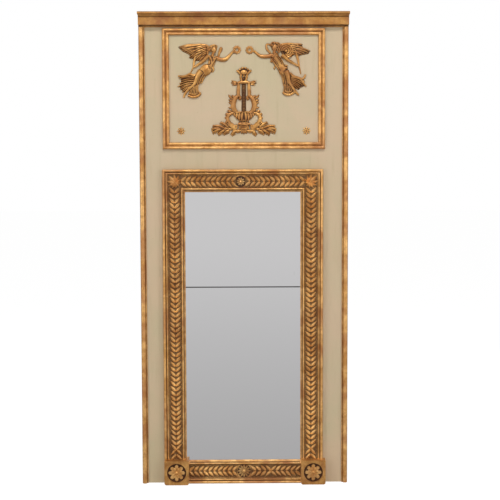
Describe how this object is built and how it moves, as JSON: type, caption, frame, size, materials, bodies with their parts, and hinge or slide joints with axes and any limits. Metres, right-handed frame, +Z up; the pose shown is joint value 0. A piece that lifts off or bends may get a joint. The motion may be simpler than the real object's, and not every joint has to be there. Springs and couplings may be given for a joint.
{
  "type": "trumeau mirror",
  "caption": "Tall wall mirror: painted board with gilt cornice, carved panel above a leaf-carved frame with mirror glass, and swinging rings on the back.",
  "frame": {"origin": "middle of the lower edge of the plane that lies against the wall", "axes": "+Z up, +Y towards the wall, +X to the right seen from the front; the painted face and the glass face -Y"},
  "size_m": [0.774, 0.0789, 1.75],
  "materials": {
    "painted_wood": "old distemper paint, matt, worn",
    "bare_board": "bare aged softwood, unfinished",
    "gilt_cornice": "water gilding over red bole, burnished and worn",
    "gilt_moulding": "water gilding over red bole, worn",
    "gilt_carving": "gilded carving, rubbed on its high points",
    "mirror_glass": "old silvered plate glass, slightly foxed",
    "hanger_steel": "zinc-dulled steel",
    "nail_iron": "black forged iron"
  },
  "bodies": {
    "frame": {"acanthus_spray_left": "gilt_carving", "acanthus_spray_right": "gilt_carving", "back_batten_bottom": "bare_board", "back_batten_nails": "nail_iron", "back_batten_top": "bare_board", "block_rosette_left": "gilt_carving", "block_rosette_right": "gilt_carving", "carcass_rail_bottom": "painted_wood", "carcass_rail_lower": "painted_wood", "carcass_rail_middle": "painted_wood", "carcass_rail_top": "painted_wood", "carcass_stile_left": "painted_wood", "carcass_stile_right": "painted_wood", "corner_block_left": "gilt_moulding", "corner_block_right": "gilt_moulding", "cornice_cap": "gilt_cornice", "cornice_moulding": "gilt_cornice", "field_rosette_left": "gilt_carving", "field_rosette_right": "gilt_carving", "frame_pegs": "bare_board", "hanger_screws": "hanger_steel", "laurel_garland_bottom_left": "gilt_carving", "laurel_garland_bottom_right": "gilt_carving", "laurel_garland_left": "gilt_carving", "laurel_garland_right": "gilt_carving", "laurel_garland_top_left": "gilt_carving", "laurel_garland_top_right": "gilt_carving", "laurel_rail_bottom": "gilt_moulding", "laurel_rail_top": "gilt_moulding", "laurel_stile_left": "gilt_moulding", "laurel_stile_right": "gilt_moulding", "lyre_finial": "gilt_carving", "lyre_frame": "gilt_carving", "lyre_strings": "gilt_carving", "mirror_backing_lower": "bare_board", "mirror_backing_upper": "bare_board", "mirror_plate_lower": "mirror_glass", "mirror_plate_upper": "mirror_glass", "panel_moulding_bottom": "gilt_moulding", "panel_moulding_left": "gilt_moulding", "panel_moulding_right": "gilt_moulding", "panel_moulding_top": "gilt_moulding", "rail_rosette_bottom": "gilt_carving", "rail_rosette_top": "gilt_carving", "side_strip_left": "gilt_moulding", "side_strip_right": "gilt_moulding", "strap_hanger_left": "hanger_steel", "strap_hanger_right": "hanger_steel", "upper_panel": "painted_wood", "winged_figure_left": "gilt_carving", "winged_figure_right": "gilt_carving"},
    "ring_left": {"hanging_ring_left": "hanger_steel"},
    "ring_right": {"hanging_ring_right": "hanger_steel"}
  },
  "joints": [
    {"name": "ring_swing_left", "type": "hinge", "parent": "frame", "child": "ring_left", "pos_m": [-0.335, -0.01062, 1.585], "axis": [1, 0, 0], "range_deg": [0, 175]},
    {"name": "ring_swing_right", "type": "hinge", "parent": "frame", "child": "ring_right", "pos_m": [0.335, -0.01062, 1.585], "axis": [1, 0, 0], "range_deg": [0, 175]}
  ]
}
